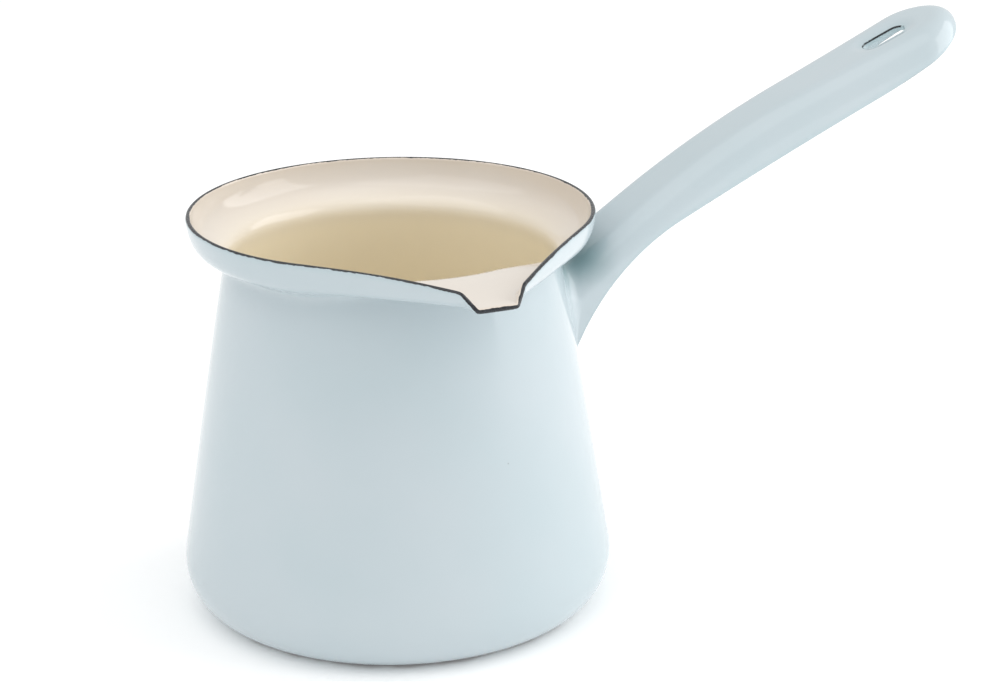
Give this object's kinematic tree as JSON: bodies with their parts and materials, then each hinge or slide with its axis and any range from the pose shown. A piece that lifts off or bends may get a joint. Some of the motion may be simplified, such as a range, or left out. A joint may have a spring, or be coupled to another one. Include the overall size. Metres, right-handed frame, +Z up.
{
  "type": "candle melting pot",
  "caption": "Enamelled steel pot with a flared rim, a pouring lip and a rising channel handle with a hanging slot, for melting wax and pouring it.",
  "frame": {"origin": "centre of the face that the pot stands on, on the axis of the pot", "axes": "+Z up along the axis of the pot, +X along the handle as seen from above, -Y towards the pouring lip"},
  "size_m": [0.21, 0.1208, 0.1366],
  "materials": {
    "pressed_steel": "satin",
    "weld_metal": "rough",
    "blue_enamel": "gloss",
    "cream_enamel": "gloss",
    "ground_enamel": "gloss"
  },
  "bodies": {
    "root": {"pot_shell": "pressed_steel", "handle_channel": "pressed_steel", "root_weld": "weld_metal", "pot_cover_coat": "blue_enamel", "handle_cover_coat": "blue_enamel", "handle_lining_coat": "blue_enamel", "pot_lining_coat": "cream_enamel", "rim_ground_band": "ground_enamel", "base_ground_coat": "ground_enamel", "handle_ground_edge": "ground_enamel", "slot_ground_edge": "ground_enamel"}
  },
  "joints": []
}
